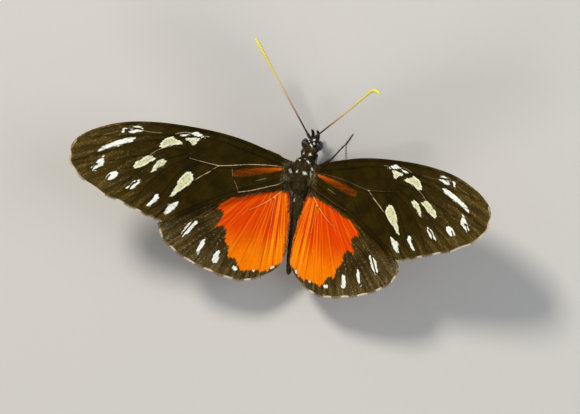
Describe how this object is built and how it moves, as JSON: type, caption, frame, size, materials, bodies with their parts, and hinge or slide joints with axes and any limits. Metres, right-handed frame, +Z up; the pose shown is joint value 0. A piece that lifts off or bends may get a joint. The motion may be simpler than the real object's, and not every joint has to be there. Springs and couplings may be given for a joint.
{
  "type": "tiger longwing butterfly",
  "caption": "Life-size still model of a tiger longwing butterfly, standing with its wings open in a shallow V.",
  "frame": {"origin": "middle of the bounds, on the floor that the feet stand on", "axes": "+Z up, the head points towards -Y, the animal's left wing points towards +X"},
  "size_m": [0.0832, 0.0458, 0.0217],
  "materials": {
    "forewing": "matte scales",
    "hindwing": "matte scales",
    "body": "short fur",
    "eye": "gloss",
    "antenna": "satin",
    "leg": "satin"
  },
  "bodies": {
    "root": {"forewing_left": "forewing", "forewing_right": "forewing", "hindwing_left": "hindwing", "hindwing_right": "hindwing", "thorax": "body", "prothorax": "body", "abdomen": "body", "head": "body", "eye_left": "eye", "eye_right": "eye", "antenna_left": "antenna", "antenna_right": "antenna", "palp_left": "body", "palp_right": "body", "proboscis": "leg", "foreleg_left": "leg", "foreleg_right": "leg", "midleg_left": "leg", "midleg_right": "leg", "hindleg_left": "leg", "hindleg_right": "leg"}
  },
  "joints": []
}
